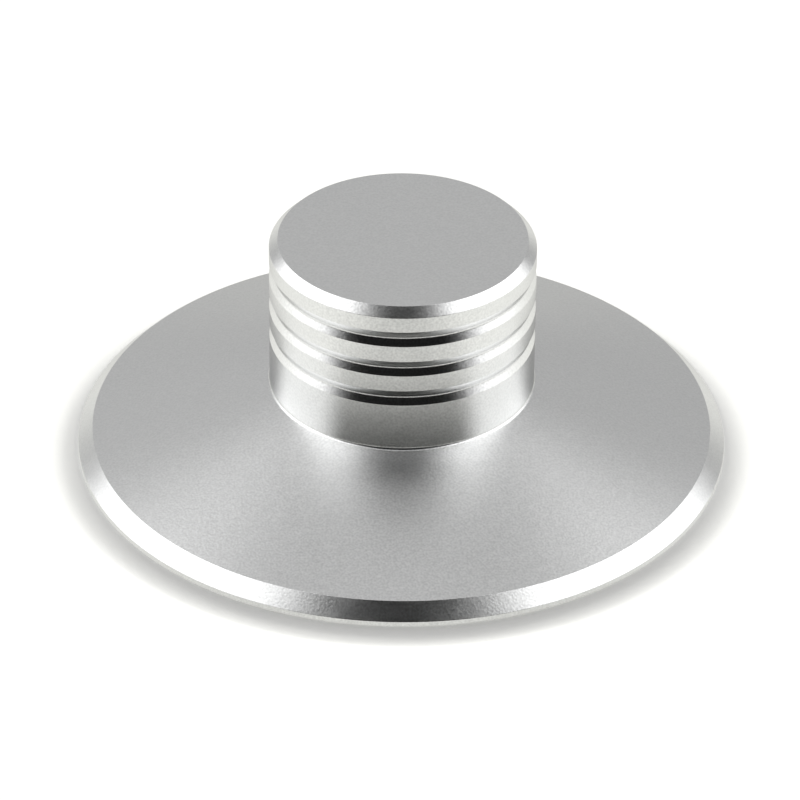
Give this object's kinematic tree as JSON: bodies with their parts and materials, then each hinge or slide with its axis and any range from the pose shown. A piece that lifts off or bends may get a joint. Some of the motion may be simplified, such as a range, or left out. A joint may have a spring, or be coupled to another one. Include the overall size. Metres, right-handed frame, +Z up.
{
  "type": "record weight clamp",
  "caption": "Turned aluminium record weight: bevelled disc with a coned top, grooved grip knob and a blind bore underneath that drops over a turntable spindle.",
  "frame": {"origin": "on the turning axis, in the plane of the ring that rests on the record", "axes": "+Z up along the turning axis, from the resting ring to the knob's flat top"},
  "size_m": [0.08, 0.08, 0.0292],
  "materials": {
    "satin_aluminium": "fine blasted satin, clear anodised, the same over disc, bevels, knob and grooves"
  },
  "bodies": {
    "root": {"clamp_body": "satin_aluminium"}
  },
  "joints": []
}
